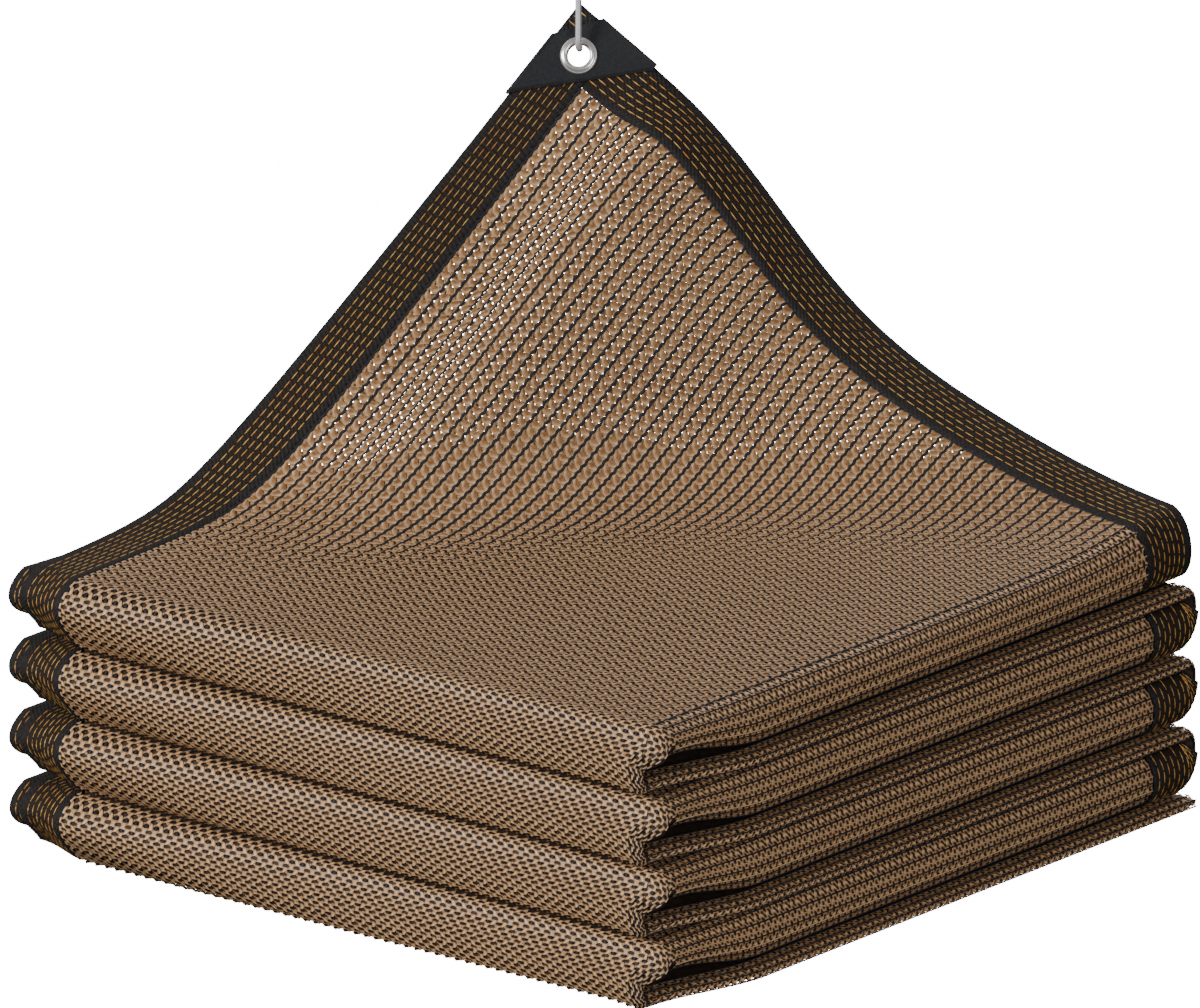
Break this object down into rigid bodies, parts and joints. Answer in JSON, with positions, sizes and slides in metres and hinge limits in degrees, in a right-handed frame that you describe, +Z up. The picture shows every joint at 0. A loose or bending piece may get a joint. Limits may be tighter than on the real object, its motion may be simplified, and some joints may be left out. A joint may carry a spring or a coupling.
{
  "type": "folded shade net on a wire hook",
  "caption": "Knitted shade net folded into a square stack with bound edges, its top far corner drawn up by an eyelet on a wire hook.",
  "frame": {"origin": "under the middle of the folded stack's outline, on the surface it rests on", "axes": "+Z up; +X towards the lengthwise folds; -Y towards the crosswise folds of the packets; the drawn-up corner is at -X, +Y"},
  "size_m": [0.4588, 0.4624, 0.4475],
  "materials": {
    "knit": "open warp knit of flat tan tape yarn and thin black wales, satin",
    "binding_tape": "woven black binding tape with rows of short orange stitches",
    "coated_cloth": "smooth black coated cloth, semi-gloss",
    "rolled_aluminium": "rolled, bright satin",
    "wire": "drawn wire, light satin grey"
  },
  "bodies": {
    "root": {"net": "knit", "binding_side_outer": "binding_tape", "binding_side_inner": "binding_tape", "binding_far": "binding_tape", "seam_tape_1": "binding_tape", "seam_tape_2": "binding_tape", "seam_tape_3": "binding_tape", "binding_corner": "binding_tape", "corner_patch": "coated_cloth", "eyelet": "rolled_aluminium", "hook": "wire"}
  },
  "joints": []
}
